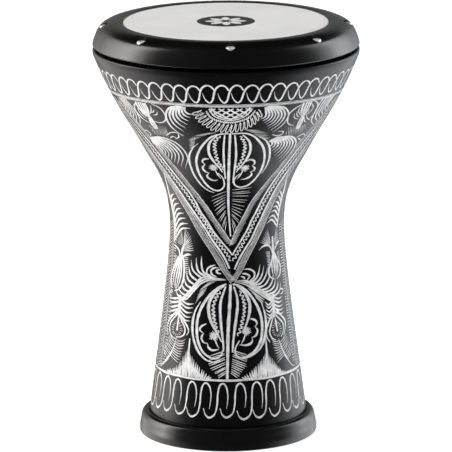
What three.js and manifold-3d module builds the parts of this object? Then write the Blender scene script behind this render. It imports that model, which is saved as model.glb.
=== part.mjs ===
// Goblet drum with a tuned head: a cast goblet shell, a clamp ring drawn down by
// eight socket screws, a film head in a channel hoop, and a moulded foot ring.
// Millimetres, +Z up, origin on the floor under the axis. The first screw faces -Y.
import * as THREE from 'three';
import { mergeVertices } from 'three/addons/utils/BufferGeometryUtils.js';
import Module from 'manifold-3d';

const wasm = await Module();
wasm.setup();

// Driving dimensions.
const roundSteps = 40;
const smallSteps = 12;
const curveSteps = 7;
const gap = 0.3;

const footSeatRadius = 83.1;
const footSeatTop = 22;
const throatRadius = 60.3;
const throatHeight = 225;
const bowlRadius = 91.1;
const bowlHeight = 315;
const rimRadius = 139.8;
const rimLow = 409;
const shelfHeight = 413.5;
const wall = 5;
const cornerHeight = 376;

const neckOuter = 107.3;
const neckInner = 101;
const bearingRadius = 104;
const bearingHeight = 440.3;

const filmThickness = 0.4;
const filmTop = bearingHeight + gap + filmThickness;
const collarRadius = 108.05;
const slotRadius = 111.2;

const lipRadius = 108.6;
const ringRadius = 140;
const ringLow = 417.5;
const ringTop = 441.6;

const screwCount = 8;
const screwCircle = 127;
const shankRadius = 3;
const headRadius = 5;
const headHeight = 6;
const headSeat = 432;
const shankTip = 403.5;
const keyFlats = 5;
const keyDepth = 3.2;
const pocketRadius = 5.8;
const boreRadius = 3.4;
const washerThickness = 1;
const washerRadius = 5.4;
const insertRadius = 4;
const insertLength = 10.7;
const insertHoleFloor = 397;

const footRingRadius = 93.8;
const footLedge = 2.7;

function material(color, roughness, metalness) {
  return new THREE.MeshStandardMaterial({ color, roughness, metalness });
}

const lacquer = material(0x0b0b0d, 0.28, 0.2);
const ringLacquer = material(0x0c0c0d, 0.25, 0.2);
const chrome = material(0xd9dbde, 0.12, 1);
const steel = material(0xa9abae, 0.35, 1);
const brass = material(0xb08d45, 0.35, 1);
const aluminium = material(0xb9bbbe, 0.4, 1);
const filmWhite = material(0xe2e2e0, 0.55, 0);
const rubber = material(0x101011, 0.45, 0);

// A ring or a solid of revolution about +Z. The outline runs up the outside and down
// the inside as [radius, height] pairs. A ring's outline closes on itself.
function turned(outline, steps) {
  const points = outline.map(([radius, height]) => new THREE.Vector2(radius, height));
  if (points[0].x > 0) points.push(points[0].clone());
  const geometry = new THREE.LatheGeometry(points, steps);
  geometry.rotateX(Math.PI / 2);
  return geometry;
}

// A closed geometry as a solid for boolean work, its shared vertices merged.
function toSolid(geometry) {
  const bare = geometry.clone();
  bare.deleteAttribute('normal');
  bare.deleteAttribute('uv');
  const merged = mergeVertices(bare, 1e-4);
  const corners = merged.index.array;
  const faces = [];
  for (let i = 0; i < corners.length; i += 3) {
    const [a, b, c] = [corners[i], corners[i + 1], corners[i + 2]];
    if (a !== b && b !== c && c !== a) faces.push(a, b, c);
  }
  return new wasm.Manifold(new wasm.Mesh({
    numProp: 3,
    vertProperties: merged.attributes.position.array,
    triVerts: Uint32Array.from(faces),
  }));
}

function toGeometry(solid) {
  const mesh = solid.getMesh();
  const geometry = new THREE.BufferGeometry();
  geometry.setAttribute('position', new THREE.BufferAttribute(mesh.vertProperties, 3));
  geometry.setIndex(new THREE.BufferAttribute(mesh.triVerts, 1));
  geometry.computeVertexNormals();
  return geometry;
}

function part(name, geometry, finish) {
  const mesh = new THREE.Mesh(geometry, finish);
  mesh.name = name;
  return mesh;
}

// An upright rod that cuts a hole, standing on the screw circle at the given turn.
function holeRod(radius, low, high, turn) {
  const rod = new THREE.CylinderGeometry(radius, radius, high - low, smallSteps);
  rod.rotateX(Math.PI / 2);
  rod.translate(0, -screwCircle, (low + high) / 2);
  rod.rotateZ(turn);
  return toSolid(rod);
}

const screwTurns = Array.from({ length: screwCount }, (_, i) => (i * 2 * Math.PI) / screwCount);

// The goblet's outside from the foot seat to the rim, as three smooth stretches.
function gobletCurve() {
  const curve = new THREE.Path();
  curve.moveTo(footSeatRadius, footSeatTop);
  curve.bezierCurveTo(79.1, 62, throatRadius, 181, throatRadius, throatHeight);
  curve.bezierCurveTo(throatRadius, 269.6, 77.4, 288.6, bowlRadius, bowlHeight);
  curve.bezierCurveTo(98.9, 330, 121.9, 361.9, rimRadius, rimLow);
  return curve.getPoints(curveSteps);
}

// The inside follows the outside at one wall thickness, up to the thick rim.
function gobletInside(outside) {
  const inside = [];
  for (let i = 1; i < outside.length - 1; i++) {
    const along = outside[i + 1].clone().sub(outside[i - 1]).normalize();
    const point = new THREE.Vector2(outside[i].x - wall * along.y, outside[i].y + wall * along.x);
    if (point.y < cornerHeight) inside.push(point);
  }
  return inside.reverse();
}

function shell() {
  const outside = gobletCurve();
  const inside = gobletInside(outside);
  const footInner = footSeatRadius - wall;
  const grooveOuter = screwCircle - 7;
  const grooveFloor = shelfHeight - 8.5;
  const outline = [
    [footSeatRadius, footLedge + gap],
    ...outside.map((point) => [point.x, point.y]),
    [rimRadius + 0.2, shelfHeight - 1.2],
    [rimRadius - 0.8, shelfHeight],
    [grooveOuter, shelfHeight],
    [grooveOuter - 1, grooveFloor],
    [neckOuter + 2, grooveFloor],
    [neckOuter, grooveFloor + 2],
    [neckOuter, bearingHeight - 4.8],
    [neckOuter - 0.4, bearingHeight - 2.1],
    [neckOuter - 1.5, bearingHeight - 0.7],
    [bearingRadius, bearingHeight],
    [neckInner + 1.2, bearingHeight - 0.9],
    [neckInner, bearingHeight - 3],
    [neckInner, rimLow - 7],
    [neckInner + 2, rimLow - 11.5],
    [neckInner + 9, rimLow - 13.5],
    [neckInner + 16.5, rimLow - 18],
    [neckInner + 19, rimLow - 25],
    ...inside.map((point) => [point.x, point.y]),
    [footInner, footSeatTop],
    [footInner, footLedge + gap],
  ];
  let solid = toSolid(turned(outline, roundSteps));
  for (const turn of screwTurns) {
    const hole = holeRod(insertRadius + gap, insertHoleFloor, shelfHeight + 1, turn);
    solid = solid.subtract(hole);
  }
  return part('shell', toGeometry(solid), lacquer);
}

// The clamp ring: a rounded shoulder, a thin lip over the hoop, a thick band for the
// screws and a skirt that hangs just above the shell's rim.
function clampRing() {
  const hoopStep = ringTop - 5.3;
  const bandLow = ringLow + 0.5;
  const outline = [
    [ringRadius - 0.6, ringLow],
    [ringRadius, ringLow + 1],
    [ringRadius - 1.5, ringLow + 6],
    [ringRadius - 3.8, ringLow + 12],
    [ringRadius - 6, ringTop - 8],
    [ringRadius - 9, ringTop - 4.8],
    [ringRadius - 14.4, ringTop - 2],
    [ringRadius - 21, ringTop - 0.3],
    [ringRadius - 27, ringTop],
    [lipRadius + 0.8, ringTop - 0.2],
    [lipRadius, ringTop - 0.9],
    [lipRadius, ringTop - 2.6],
    [lipRadius + 3, ringTop - 2.6],
    [lipRadius + 3, hoopStep],
    [lipRadius + 5.2, hoopStep],
    [lipRadius + 5.2, hoopStep - 5.3],
    [screwCircle - 6, hoopStep - 5.3],
    [screwCircle - 6, bandLow],
    [screwCircle + 6, bandLow],
    [screwCircle + 6, bandLow + 9],
    [ringRadius - 4.5, bandLow + 5],
    [ringRadius - 2.8, ringLow],
  ];
  let solid = toSolid(turned(outline, roundSteps));
  const pocketFloor = headSeat - washerThickness - 2 * gap;
  for (const turn of screwTurns) {
    solid = solid.subtract(holeRod(pocketRadius, pocketFloor, ringTop + 1, turn));
    solid = solid.subtract(holeRod(boreRadius, ringLow - 1, pocketFloor + 1, turn));
  }
  return part('clamp_ring', toGeometry(solid), ringLacquer);
}

// The film lies over the bearing edge, drops down the neck and ends in the hoop's slot.
function headFilm() {
  const kneeHeight = bearingHeight - 4.6;
  const slotEntry = bearingHeight - 7.5;
  const hem = bearingHeight - 11.7;
  const half = filmThickness / 2;
  const outline = [
    [0, filmTop - filmThickness],
    [bearingRadius + 2.1, filmTop - filmThickness],
    [collarRadius - 0.95, bearingHeight - 0.2],
    [collarRadius - 0.5, bearingHeight - 1.4],
    [collarRadius - filmThickness, kneeHeight - 0.1],
    [slotRadius - half, slotEntry - 0.2],
    [slotRadius - half, hem],
    [slotRadius + half, hem],
    [slotRadius + half, slotEntry],
    [collarRadius, kneeHeight],
    [collarRadius - 0.1, bearingHeight - 1.3],
    [collarRadius - 0.65, bearingHeight + 0.1],
    [bearingRadius + 2.2, filmTop],
    [0, filmTop],
  ];
  return part('head_film', turned(outline, roundSteps), filmWhite);
}

// A channel that opens upwards: the film's edge stands in its slot.
function headHoop() {
  const low = bearingHeight - 15.5;
  const slotFloor = low + 1.4;
  const outline = [
    [slotRadius + 2.2, low],
    [slotRadius + 2.2, ringTop - 5.3 - gap],
    [slotRadius + 0.7, ringTop - 5.3 - gap],
    [slotRadius + 0.7, slotFloor],
    [slotRadius - 0.7, slotFloor],
    [slotRadius - 0.7, low + 5.2],
    [slotRadius - 1.9, low + 5.2],
    [slotRadius - 1.9, low],
  ];
  return part('head_hoop', turned(outline, roundSteps), aluminium);
}

// The foot ring wraps the shell's foot and turns in under its edge.
function footRing() {
  const bore = footSeatRadius + gap;
  const outline = [
    [footRingRadius - 0.8, 0],
    [footRingRadius, 0.8],
    [footRingRadius, 6.5],
    [footRingRadius - 1, 12],
    [footRingRadius - 2.2, 18.6],
    [footRingRadius - 4, 21.6],
    [footRingRadius - 6.6, 22.8],
    [bore + 0.8, 22.6],
    [bore, footSeatTop - gap],
    [bore, footLedge],
    [bore - 7.4, footLedge],
    [bore - 7.4, 0],
  ];
  return part('foot_ring', turned(outline, roundSteps), rubber);
}

function tuningScrew(name) {
  const outline = [
    [0, shankTip],
    [shankRadius - 0.7, shankTip],
    [shankRadius, shankTip + 1],
    [shankRadius, headSeat],
    [headRadius, headSeat],
    [headRadius, headSeat + headHeight - 0.5],
    [headRadius - 0.5, headSeat + headHeight],
    [0, headSeat + headHeight],
  ];
  const keyRadius = keyFlats / Math.sqrt(3);
  const key = new THREE.CylinderGeometry(keyRadius, keyRadius, 2 * keyDepth, 6);
  key.rotateX(Math.PI / 2);
  key.translate(0, 0, headSeat + headHeight);
  const solid = toSolid(turned(outline, smallSteps)).subtract(toSolid(key));
  return part(name, toGeometry(solid), chrome);
}

function washer(name) {
  const low = headSeat - gap - washerThickness;
  const outline = [
    [washerRadius, low],
    [washerRadius, low + washerThickness],
    [shankRadius + 0.35, low + washerThickness],
    [shankRadius + 0.35, low],
  ];
  return part(name, turned(outline, smallSteps), steel);
}

function threadInsert(name) {
  const high = shelfHeight - gap;
  const outline = [
    [insertRadius, high - insertLength],
    [insertRadius, high],
    [shankRadius + 0.35, high],
    [shankRadius + 0.35, high - insertLength],
  ];
  return part(name, turned(outline, smallSteps), brass);
}

const group = new THREE.Group();
group.add(shell(), footRing(), clampRing(), headHoop(), headFilm());

// Each screw station holds a screw, its washer and its insert, one above the other.
screwTurns.forEach((turn, i) => {
  const station = new THREE.Group();
  station.rotation.z = turn;
  const pieces = [
    tuningScrew(`tuning_screw_${i + 1}`),
    washer(`washer_${i + 1}`),
    threadInsert(`thread_insert_${i + 1}`),
  ];
  for (const piece of pieces) {
    piece.position.y = -screwCircle;
    station.add(piece);
  }
  group.add(station);
});

export default group;
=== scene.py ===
# Cast goblet drum with bright-cut engraving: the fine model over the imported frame.
import bpy
import bmesh
import math
import random
from mathutils import Matrix, Vector
from mathutils.bvhtree import BVHTree


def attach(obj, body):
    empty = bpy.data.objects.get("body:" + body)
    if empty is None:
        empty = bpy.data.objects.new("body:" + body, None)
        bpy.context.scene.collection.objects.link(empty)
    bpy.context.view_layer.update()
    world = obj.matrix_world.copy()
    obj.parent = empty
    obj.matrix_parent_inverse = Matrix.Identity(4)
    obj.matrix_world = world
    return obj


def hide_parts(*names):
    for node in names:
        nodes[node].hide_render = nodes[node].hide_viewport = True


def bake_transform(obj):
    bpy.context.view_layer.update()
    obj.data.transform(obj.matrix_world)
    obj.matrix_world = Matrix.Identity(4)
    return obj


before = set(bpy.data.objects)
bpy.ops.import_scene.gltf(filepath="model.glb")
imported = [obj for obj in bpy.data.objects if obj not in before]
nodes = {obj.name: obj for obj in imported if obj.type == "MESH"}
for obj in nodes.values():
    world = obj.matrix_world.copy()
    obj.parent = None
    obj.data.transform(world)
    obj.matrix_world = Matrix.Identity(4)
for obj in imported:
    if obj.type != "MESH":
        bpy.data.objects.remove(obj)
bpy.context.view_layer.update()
scene = bpy.context.scene
random.seed(11)
mm = 0.001

# camera, floor and light

camera = {
    "aim": (0, 0, 0.221),
    "distance": 5.0,
    "elevation": 13.14,
    "turn": 2.0,               # degrees round to the drum's left
    "roll": -0.31,
    "lens": 377.0,
    "sensor": 36,
    "shift": -0.0022,
    "far": 60,
}
studio = {
    "floorSize": 16.0,
    "floorColour": (0.9, 0.9, 0.9, 1),
    "floorRoughness": 0.9,
    "floorGloss": 0.1,
    "floorGlow": 0.55,         # keeps the floor pale up to the foot
    # brightness seen by the lacquer, by how far behind the drum it lies (-1 front, 1 straight behind)
    "leftWall": [
        (-1, 0.04), (-0.5, 0.1), (-0.3, 0.4), (-0.1, 3.4), (0.12, 7.8),
        (0.35, 5.4), (0.55, 3.0), (0.8, 0.9), (1, 0.25),
    ],
    "rightWall": [
        (-1, 0.04), (-0.4, 0.08), (-0.15, 0.4), (0.08, 2.2), (0.4, 5.0), (0.6, 3.2), (0.82, 1.0), (1, 0.25),
    ],
    "ground": [(-0.8, 0.06), (0.35, 2.5), (0.75, 1.9), (1, 0.3)],
    "brightest": 8.0,          # the ramps hold shares of this
    "horizon": (-0.2, 0.04),   # where the walls give way to the ground
    "sideBlend": 0.1,          # how softly the left wall turns into the right one
    "leftTint": (1.0, 0.97, 0.95, 1),
    "rightTint": (0.96, 0.98, 1.0, 1),
    "wallTop": (0.68, 0.8),    # how high the bright walls reach
    "topTilt": 0.35,           # they end lower straight behind than at the sides
    "aboveWalls": 0.1,
    "white": 1.1,              # plain white behind everything
}
lamps = {
    # name: place, aim, size, power, colour
    "keyFront": ((-1.2, -3.4, 2.3), (0, 0, 0.22), (1.6, 1.6), 46, (1, 1, 1)),
    "fillRight": ((2.6, -1.6, 1.1), (0, 0, 0.22), (1.2, 1.6), 16, (1, 1, 1)),
    "fillLeft": ((-2.6, -1.2, 1.0), (0, 0, 0.22), (1.2, 1.6), 16, (1, 1, 1)),
    "overhead": ((0.0, 0.2, 3.0), (0, 0, 0.44), (2.2, 2.2), 29, (1, 1, 1)),
}


def lookAt(spot, aim):
    return (Vector(aim) - Vector(spot)).to_track_quat("-Z", "Y").to_matrix().to_4x4()


def placeCamera(settings):
    aim = Vector(settings["aim"])
    lift = math.radians(settings["elevation"])
    turn = math.radians(settings["turn"])
    away = Vector((-math.cos(lift) * math.sin(turn), -math.cos(lift) * math.cos(turn), math.sin(lift)))
    spot = aim + away * settings["distance"]
    roll = Matrix.Rotation(math.radians(settings["roll"]), 4, "Z")
    data = bpy.data.cameras.new("camera")
    data.lens = settings["lens"]
    data.sensor_width = settings["sensor"]
    data.shift_x = settings["shift"]
    data.clip_end = settings["far"]
    data.dof.use_dof = False
    view = bpy.data.objects.new("camera", data)
    view.matrix_world = Matrix.Translation(spot) @ lookAt(spot, aim) @ roll
    scene.collection.objects.link(view)
    scene.camera = view


def placeLamps(settings):
    for name, (spot, aim, size, power, colour) in settings.items():
        data = bpy.data.lights.new(name, "AREA")
        data.shape = "RECTANGLE"
        data.size, data.size_y = size
        data.energy = power
        data.color = colour
        lamp = bpy.data.objects.new(name, data)
        lamp.matrix_world = Matrix.Translation(spot) @ lookAt(spot, aim)
        lamp.visible_camera = False
        lamp.visible_glossy = False            # the black lacquer mirrors only the walls
        scene.collection.objects.link(lamp)


def addNode(tree, kind, feeds=None, **options):
    # feeds gives each socket a value or another node's output
    node = tree.nodes.new(kind)
    for key, value in options.items():
        setattr(node, key, value)
    for key, value in (feeds or {}).items():
        if isinstance(value, bpy.types.NodeSocket):
            tree.links.new(value, node.inputs[key])
        else:
            node.inputs[key].default_value = value
    return node


def spread(tree, value, low, high, lowest=0, highest=1, way="LINEAR"):
    feeds = {"Value": value, "From Min": low, "From Max": high, "To Min": lowest, "To Max": highest}
    return addNode(tree, "ShaderNodeMapRange", feeds, interpolation_type=way).outputs["Result"]


def mix(tree, share, first, second, kind="RGBA"):
    feeds = {"Factor": share, "A": first, "B": second}
    return addNode(tree, "ShaderNodeMix", feeds, data_type=kind).outputs["Result"]


def reckon(tree, operation, *values):
    return addNode(tree, "ShaderNodeMath", dict(enumerate(values)), operation=operation).outputs["Value"]


def paintSky(settings):
    world = bpy.data.worlds.new("studio")
    scene.world = world
    world.use_nodes = True
    tree = world.node_tree
    ray = addNode(tree, "ShaderNodeTexCoord").outputs["Generated"]
    height = addNode(tree, "ShaderNodeSeparateXYZ", {"Vector": ray}).outputs["Z"]
    level = addNode(tree, "ShaderNodeVectorMath", {0: ray, 1: (1, 1, 0)}, operation="MULTIPLY")
    unit = addNode(tree, "ShaderNodeVectorMath", {0: level.outputs["Vector"]}, operation="NORMALIZE")
    compass = addNode(tree, "ShaderNodeSeparateXYZ", {"Vector": unit.outputs["Vector"]})
    behind = spread(tree, compass.outputs["Y"], -1, 1)
    brightest = settings["brightest"]
    shades = []
    for part in ("leftWall", "rightWall", "ground"):
        ramp = addNode(tree, "ShaderNodeValToRGB", {"Fac": behind})
        stops = ramp.color_ramp
        stops.interpolation = "EASE"
        while len(stops.elements) < len(settings[part]):
            stops.elements.new(0.5)
        for element, (place, value) in zip(stops.elements, settings[part]):
            element.position = (place + 1) / 2
            element.color = (value / brightest, value / brightest, value / brightest, 1)
        shades.append(ramp.outputs["Color"])
    left, right, ground = shades
    side = spread(
        tree, compass.outputs["X"], -settings["sideBlend"], settings["sideBlend"], way="SMOOTHSTEP",
    )
    wall = mix(tree, side, left, right)
    colour = mix(tree, side, settings["leftTint"], settings["rightTint"])
    rise = reckon(tree, "MULTIPLY_ADD", compass.outputs["Y"], settings["topTilt"], height)
    top = spread(tree, rise, *settings["wallTop"], brightest, settings["aboveWalls"], "SMOOTHSTEP")
    upper = reckon(tree, "MULTIPLY", wall, top)
    lower = reckon(tree, "MULTIPLY", ground, brightest)
    horizon = spread(tree, height, *settings["horizon"], way="SMOOTHSTEP")
    whole = mix(tree, horizon, lower, upper, "FLOAT")
    seen = addNode(tree, "ShaderNodeLightPath").outputs["Is Camera Ray"]
    strength = mix(tree, seen, whole, settings["white"], "FLOAT")
    tree.links.new(strength, tree.nodes["Background"].inputs["Strength"])
    tree.links.new(colour, tree.nodes["Background"].inputs["Color"])


def layFloor(settings):
    shape = bmesh.new()
    bmesh.ops.create_grid(shape, x_segments=4, y_segments=4, size=settings["floorSize"] / 2)
    mesh = bpy.data.meshes.new("floor")
    shape.to_mesh(mesh)
    shape.free()
    floor = bpy.data.objects.new("floor", mesh)
    scene.collection.objects.link(floor)
    paper = bpy.data.materials.new("paleFloor")
    paper.use_nodes = True
    shader = paper.node_tree.nodes["Principled BSDF"]
    shader.inputs["Base Color"].default_value = settings["floorColour"]
    shader.inputs["Roughness"].default_value = settings["floorRoughness"]
    shader.inputs["Specular IOR Level"].default_value = settings["floorGloss"]
    shader.inputs["Emission Color"].default_value = (1, 1, 1, 1)
    shader.inputs["Emission Strength"].default_value = settings["floorGlow"]
    mesh.materials.append(paper)
    floor.visible_glossy = False               # a matt sweep: it doesn't show in the lacquer


scene.view_settings.view_transform = "Standard"
placeCamera(camera)
placeLamps(lamps)
paintSky(studio)
layFloor(studio)
print("studio ready")

# finishes: colour, the colour of dust on it, how rough it runs, and how strong its orange peel is

lacquerLook = {
    "colour": (0.003, 0.003, 0.0035, 1), "dusty": (0.011, 0.0105, 0.0105, 1),
    "gloss": (0.19, 0.27), "peel": 0.04, "ior": 1.33,
}
ringLook = {
    "colour": (0.003, 0.0028, 0.0028, 1), "dusty": (0.01, 0.0095, 0.009, 1),
    "gloss": (0.17, 0.25), "peel": 0.04, "ior": 1.5,
}
rubberLook = {
    "colour": (0.0035, 0.0033, 0.0034, 1), "dusty": (0.014, 0.0135, 0.013, 1),
    "gloss": (0.16, 0.25), "peel": 0.08, "ior": 1.47,
}
insideLook = {
    "colour": (0.018, 0.018, 0.018, 1), "dusty": (0.035, 0.033, 0.03, 1),
    "gloss": (0.55, 0.75), "peel": 0.5, "ior": 1.5,
}
inkLook = {
    "colour": (0.022, 0.022, 0.024, 1), "dusty": (0.03, 0.03, 0.03, 1),
    "gloss": (0.4, 0.5), "peel": 0.1, "ior": 1.5,
}
petalLook = {
    "colour": (0.72, 0.72, 0.72, 1), "dusty": (0.6, 0.6, 0.6, 1),
    "gloss": (0.4, 0.5), "peel": 0.1, "ior": 1.5,
}
filmLook = {"colour": (0.70, 0.70, 0.695, 1), "shade": (0.65, 0.65, 0.64, 1), "specular": 0.15}
cutLook = {"bright": (0.70, 0.70, 0.70, 1), "dull": (0.5, 0.5, 0.51, 1), "metallic": 0.12}
chromeLook = {
    "bright": (0.9, 0.9, 0.91, 1), "dull": (0.78, 0.78, 0.79, 1), "gloss": (0.2, 0.36), "metallic": 0.5,
}
threadLook = {
    "bright": (0.035, 0.034, 0.033, 1), "dull": (0.02, 0.02, 0.02, 1), "gloss": (0.4, 0.6), "metallic": 0.6,
}
steelLook = {
    "bright": (0.6, 0.6, 0.6, 1), "dull": (0.5, 0.49, 0.48, 1), "gloss": (0.3, 0.5), "brushed": (1, 1, 0.1),
}
brassLook = {"bright": (0.72, 0.52, 0.25, 1), "dull": (0.58, 0.4, 0.19, 1), "gloss": (0.25, 0.42)}
aluminiumLook = {
    "bright": (0.76, 0.76, 0.76, 1), "dull": (0.66, 0.66, 0.66, 1), "gloss": (0.3, 0.45),
    "brushed": (0.1, 0.1, 1),
}


def newFinish(name, sockets):
    finish = bpy.data.materials.new(name)
    finish.use_nodes = True
    tree = finish.node_tree
    for socket, value in sockets.items():
        tree.nodes["Principled BSDF"].inputs[socket].default_value = value
    return finish, tree, addNode(tree, "ShaderNodeTexCoord").outputs["Object"]


def dress(tree, colour, roughness, normal):
    shader = tree.nodes["Principled BSDF"]
    tree.links.new(colour, shader.inputs["Base Color"])
    tree.links.new(roughness, shader.inputs["Roughness"])
    tree.links.new(normal, shader.inputs["Normal"])


def speckle(tree, place, scale, detail=4.0, roughness=0.55, stretch=None):
    if stretch:
        drawn = addNode(tree, "ShaderNodeMapping", {"Vector": place, "Scale": stretch}, vector_type="POINT")
        place = drawn.outputs["Vector"]
    feeds = {"Vector": place, "Scale": scale, "Detail": detail, "Roughness": roughness}
    return addNode(tree, "ShaderNodeTexNoise", feeds).outputs["Fac"]


def relief(tree, height, strength, distance, below=None):
    feeds = {"Height": height, "Strength": strength, "Distance": distance}
    if below:
        feeds["Normal"] = below
    return addNode(tree, "ShaderNodeBump", feeds).outputs["Normal"]


def lacquer(name, look):
    # sprayed gloss over a casting: orange peel, faint wipe marks and a little dust
    finish, tree, place = newFinish(name, {"IOR": look["ior"]})
    dust = spread(tree, speckle(tree, place, 1700, 2, 0.7), 0.66, 0.74)
    cloud = spread(tree, speckle(tree, place, 14, 3), 0.3, 0.7, *look["gloss"])
    wipe = spread(tree, speckle(tree, place, 60, 5, 0.6, (1, 1, 0.12)), 0.45, 0.75, 0, 0.05)
    peel = relief(tree, speckle(tree, place, 420, 3), look["peel"], 0.0006)
    waves = relief(tree, speckle(tree, place, 38, 2), look["peel"] * 0.6, 0.004, peel)
    colour = mix(tree, dust, look["colour"], look["dusty"])
    dress(tree, colour, reckon(tree, "ADD", cloud, wipe), waves)
    return finish


def skin(name, look):
    # coated polyester film with a fine sanded tooth
    finish, tree, place = newFinish(name, {"Specular IOR Level": look["specular"]})
    cloud = spread(tree, speckle(tree, place, 22, 5), 0.35, 0.65)
    tooth = speckle(tree, place, 1500, 3, 0.7)
    colour = mix(tree, cloud, look["colour"], look["shade"])
    dress(tree, colour, spread(tree, tooth, 0.3, 0.7, 0.42, 0.6), relief(tree, tooth, 0.25, 0.0003))
    return finish


def metal(name, look):
    finish, tree, place = newFinish(name, {"Metallic": look.get("metallic", 1.0)})
    cloud = spread(tree, speckle(tree, place, 120, 4), 0.35, 0.68)
    rub = speckle(tree, place, 900, 4, 0.65, look.get("brushed"))
    colour = mix(tree, cloud, look["bright"], look["dull"])
    dress(tree, colour, spread(tree, rub, 0.25, 0.75, *look["gloss"]), relief(tree, rub, 0.1, 0.0002))
    return finish


def brightCut(name, look):
    # a graver's cut through the lacquer: V groove with tremor marks along it
    finish, tree, place = newFinish(name, {"Metallic": look["metallic"]})
    run = addNode(tree, "ShaderNodeUVMap", uv_map="cut").outputs["UV"]
    across = addNode(tree, "ShaderNodeSeparateXYZ", {"Vector": run}).outputs["X"]
    groove = reckon(tree, "PINGPONG", across, 0.5)
    feeds = {"Vector": run, "Scale": 0.9, "Detail": 3.0, "Roughness": 0.6}
    tremor = addNode(tree, "ShaderNodeTexNoise", feeds, noise_dimensions="2D").outputs["Fac"]
    cloud = spread(tree, speckle(tree, place, 160, 4), 0.35, 0.65)
    rub = spread(tree, speckle(tree, place, 1400, 3, 0.7), 0.3, 0.7, 0.38, 0.58)
    facets = relief(tree, tremor, 0.5, 0.0006, relief(tree, groove, 0.7, -0.0007))
    dress(tree, mix(tree, cloud, look["bright"], look["dull"]), rub, facets)
    return finish


finishes = {
    "lacquer": lacquer("blackLacquer", lacquerLook),
    "ringLacquer": lacquer("ringLacquer", ringLook),
    "rubber": lacquer("footRubber", rubberLook),
    "inside": lacquer("castInside", insideLook),
    "film": skin("coatedFilm", filmLook),
    "cut": brightCut("brightCut", cutLook),
    "chrome": metal("screwChrome", chromeLook),
    "thread": metal("threadBlack", threadLook),
    "steel": metal("washerSteel", steelLook),
    "brass": metal("insertBrass", brassLook),
    "aluminium": metal("hoopAluminium", aluminiumLook),
    "ink": lacquer("badgeInk", inkLook),
    "inkLight": lacquer("badgeLight", petalLook),
}
print("finishes mixed")

# turned pieces

outlineTurn = 18.0             # degrees round from the front where the sections are taken


def cadOutline(node):
    # half of the piece's section through its axis, as (radius, height) in mm, in order round it
    cut = bmesh.new()
    cut.from_mesh(nodes[node].data)
    bmesh.ops.remove_doubles(cut, verts=cut.verts, dist=1e-6)
    side = Vector((math.sin(math.radians(outlineTurn)), -math.cos(math.radians(outlineTurn)), 0))
    bmesh.ops.bisect_plane(
        cut, geom=cut.verts[:] + cut.edges[:] + cut.faces[:], dist=2e-6, plane_co=(0, 0, 0),
        plane_no=side.cross(Vector((0, 0, 1))), clear_inner=True, clear_outer=True,
    )
    bmesh.ops.delete(cut, geom=[v for v in cut.verts if v.co.dot(side) < -1e-6], context="VERTS")
    ends = [v for v in cut.verts if len(v.link_edges) == 1]
    run = [max(ends or cut.verts, key=lambda v: v.co.z)]
    edge = run[0].link_edges[0]
    while edge:
        following = edge.other_vert(run[-1])
        if following is run[0]:
            break
        run.append(following)
        onward = [e for e in following.link_edges if e is not edge]
        edge = onward[0] if onward else None
    outline = [(max(v.co.dot(side), 0) / mm, v.co.z / mm) for v in run]
    closed = not ends
    cut.free()
    return outline, closed


def bendAt(before, here, after):
    first, second = Vector(here) - Vector(before), Vector(after) - Vector(here)
    return math.degrees(first.angle(second))


def between(a, b, c, d, t):
    # a point of the smooth curve that runs from b to c
    rise, bow, turn = c - a, 2 * a - 5 * b + 4 * c - d, 3 * b - a - 3 * c + d
    return 0.5 * (2 * b + rise * t + bow * t * t + turn * t ** 3)


def roundOver(shape, geom, offset, affect, segments):
    bmesh.ops.bevel(
        shape, geom=geom, offset=offset, offset_type="OFFSET", affect=affect,
        segments=segments, profile=0.5, material=-1, clamp_overlap=True,
    )


def fairOutline(outline, closed, corner, step, rounding):
    # a smooth curve through the frame's points, with each true corner rounded over
    count = len(outline)
    spots = [Vector(p) for p in outline]
    sharp = []
    for i in range(count):
        end = not closed and i in (0, count - 1)
        sharp.append(end or bendAt(spots[i - 1], spots[i], spots[(i + 1) % count]) > corner)
    wire = bmesh.new()
    first = previous = wire.verts.new((spots[0].x, 0, spots[0].y))
    corners = [first] if sharp[0] and closed else []
    for i in range(count if closed else count - 1):
        j = (i + 1) % count
        a, b = spots[i], spots[j]
        before = 2 * a - b if sharp[i] else spots[i - 1]
        after = 2 * b - a if sharp[j] else spots[(j + 1) % count]
        parts = max(1, round((b - a).length / step))
        for k in range(1, parts + 1):
            spot = between(before, a, b, after, k / parts)
            last = k == parts
            if last and closed and j == 0:
                here = first
            else:
                here = wire.verts.new((spot.x, 0, spot.y))
            wire.edges.new((previous, here))
            if last and sharp[j] and here is not first and (closed or j < count - 1):
                corners.append(here)
            previous = here
    if rounding and corners:
        roundOver(wire, corners, rounding, "VERTICES", 3)
    bmesh.ops.scale(wire, vec=(mm, mm, mm), verts=wire.verts)
    return wire


def spun(wire, steps):
    bmesh.ops.spin(
        wire, geom=wire.verts[:] + wire.edges[:], cent=(0, 0, 0), axis=(0, 0, 1),
        angle=math.tau, steps=steps, use_merge=True, use_duplicate=False,
    )
    bmesh.ops.remove_doubles(wire, verts=wire.verts, dist=2e-6)
    bmesh.ops.recalc_face_normals(wire, faces=wire.faces)
    return wire


def asPiece(shape, name, body, looks, stands=(), crease=35):
    mesh = bpy.data.meshes.new(name)
    for face in shape.faces:
        face.smooth = True
    shape.to_mesh(mesh)
    shape.free()
    for look in looks:
        mesh.materials.append(finishes[look])
    mesh.set_sharp_from_angle(angle=math.radians(crease))
    piece = bpy.data.objects.new(name, mesh)
    scene.collection.objects.link(piece)
    if body:
        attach(piece, body)
    if stands:
        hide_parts(*stands)
    return piece


def turnedFrom(node, settings):
    outline, closed = cadOutline(node)
    wire = fairOutline(outline, closed, settings["corner"], settings["step"], settings["rounding"])
    return spun(wire, settings["steps"])


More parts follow.
